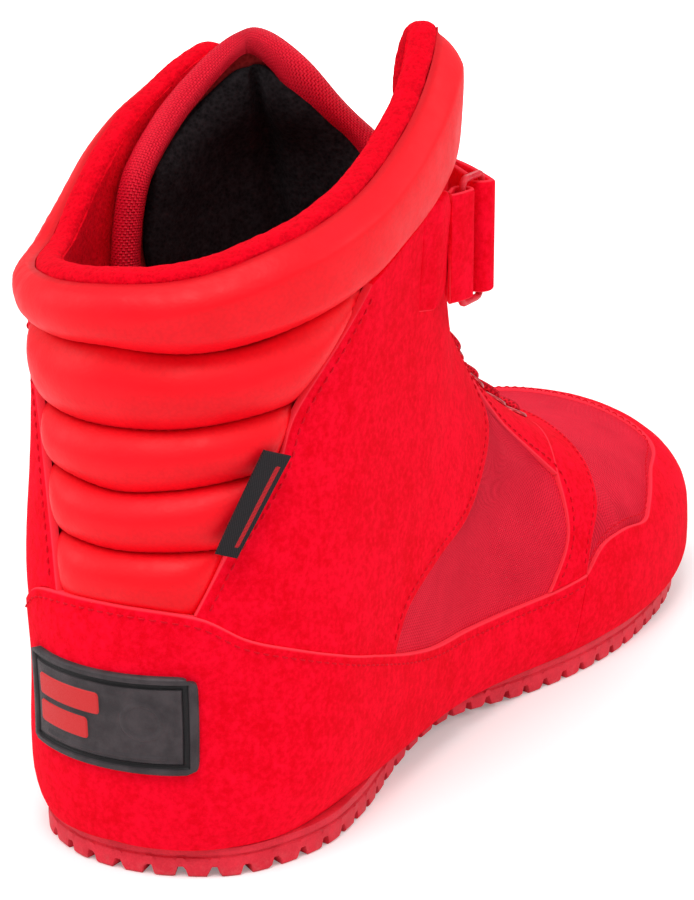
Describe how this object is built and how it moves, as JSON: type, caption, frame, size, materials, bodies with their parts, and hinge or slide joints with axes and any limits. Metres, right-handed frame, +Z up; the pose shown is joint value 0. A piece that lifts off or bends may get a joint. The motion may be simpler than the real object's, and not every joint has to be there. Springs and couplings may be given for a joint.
{
  "type": "boxing boot",
  "caption": "Padded high-top boxing boot with suede and mesh panels, a puffed heel and collar, a lined tongue, lacing and a folded-back ankle strap.",
  "frame": {"origin": "on the ground plane under the middle of the heel, on the tread face of a heel lug", "axes": "+Z up out of the ground, +Y from the heel to the toe, +X to the outer side of the foot"},
  "size_m": [0.1074, 0.3052, 0.206],
  "materials": {
    "suede": "matt napped suede, bright red",
    "padded_cover": "smooth soft coated leather, satin, red",
    "side_mesh": "fine ribbed mesh, crimson",
    "red_fleece": "brushed fleece, red",
    "black_fleece": "brushed fleece, black",
    "woven_nylon": "coarse plain weave, red",
    "sole_rubber": "moulded rubber, satin, crimson",
    "label_rubber": "moulded soft rubber, matt dark grey",
    "tag_weave": "satin woven label, charcoal",
    "padding_foam": "open cell foam, hidden",
    "sole_foam": "expanded foam, hidden",
    "stiffener_board": "pressed fibre board, hidden",
    "coated_wire": "wire with a smooth red coat",
    "eyelet_metal": "rolled eyelet, red lacquer"
  },
  "bodies": {
    "boot": {"outsole": "sole_rubber", "midsole_filler": "sole_foam", "insole_board": "stiffener_board", "sockliner": "black_fleece", "heel_foxing": "suede", "toe_cap": "suede", "front_band": "suede", "toe_mesh": "side_mesh", "eyestay_outer": "suede", "mesh_panel_outer": "side_mesh", "quarter_outer": "suede", "quarter_foam_outer": "padding_foam", "shaft_lining_outer": "red_fleece", "eyestay_inner": "suede", "mesh_panel_inner": "side_mesh", "quarter_inner": "suede", "quarter_foam_inner": "padding_foam", "shaft_lining_inner": "red_fleece", "heel_counter": "stiffener_board", "toe_puff": "stiffener_board", "forepart_lining": "red_fleece", "heel_puff_base": "padded_cover", "heel_puff_lower": "padded_cover", "heel_puff_middle": "padded_cover", "heel_puff_upper": "padded_cover", "collar_roll": "padded_cover", "collar_foam": "padding_foam", "rim_binding": "red_fleece", "eyelet_outer_1": "eyelet_metal", "eyelet_outer_2": "eyelet_metal", "eyelet_outer_3": "eyelet_metal", "eyelet_outer_4": "eyelet_metal", "eyelet_outer_5": "eyelet_metal", "eyelet_inner_1": "eyelet_metal", "eyelet_inner_2": "eyelet_metal", "eyelet_inner_3": "eyelet_metal", "eyelet_inner_4": "eyelet_metal", "eyelet_inner_5": "eyelet_metal", "lace": "woven_nylon", "strap": "suede", "strap_loop_patch": "black_fleece", "ring_keeper": "suede", "strap_anchor": "suede", "heel_patch": "label_rubber", "woven_tag": "tag_weave"},
    "tongue": {"tongue_face": "woven_nylon", "tongue_foam": "padding_foam", "tongue_lining": "black_fleece", "tongue_binding": "woven_nylon"},
    "ring": {"strap_ring": "coated_wire"},
    "strap_end": {"strap_tail": "suede", "strap_hook_patch": "black_fleece"}
  },
  "joints": [
    {"name": "tongue_tilt", "type": "hinge", "parent": "boot", "child": "tongue", "pos_m": [0, 0.171, 0.0575], "axis": [1, 0, 0], "range_deg": [0, 10]},
    {"name": "ring_swivel", "type": "hinge", "parent": "boot", "child": "ring", "pos_m": [0.045, 0.063, 0.1465], "axis": [0, 0, -1], "range_deg": [0, 15]},
    {"name": "strap_peel", "type": "hinge", "parent": "ring", "child": "strap_end", "pos_m": [0.045, 0.074, 0.1465], "axis": [0, 0, -1], "range_deg": [0, 140]}
  ]
}
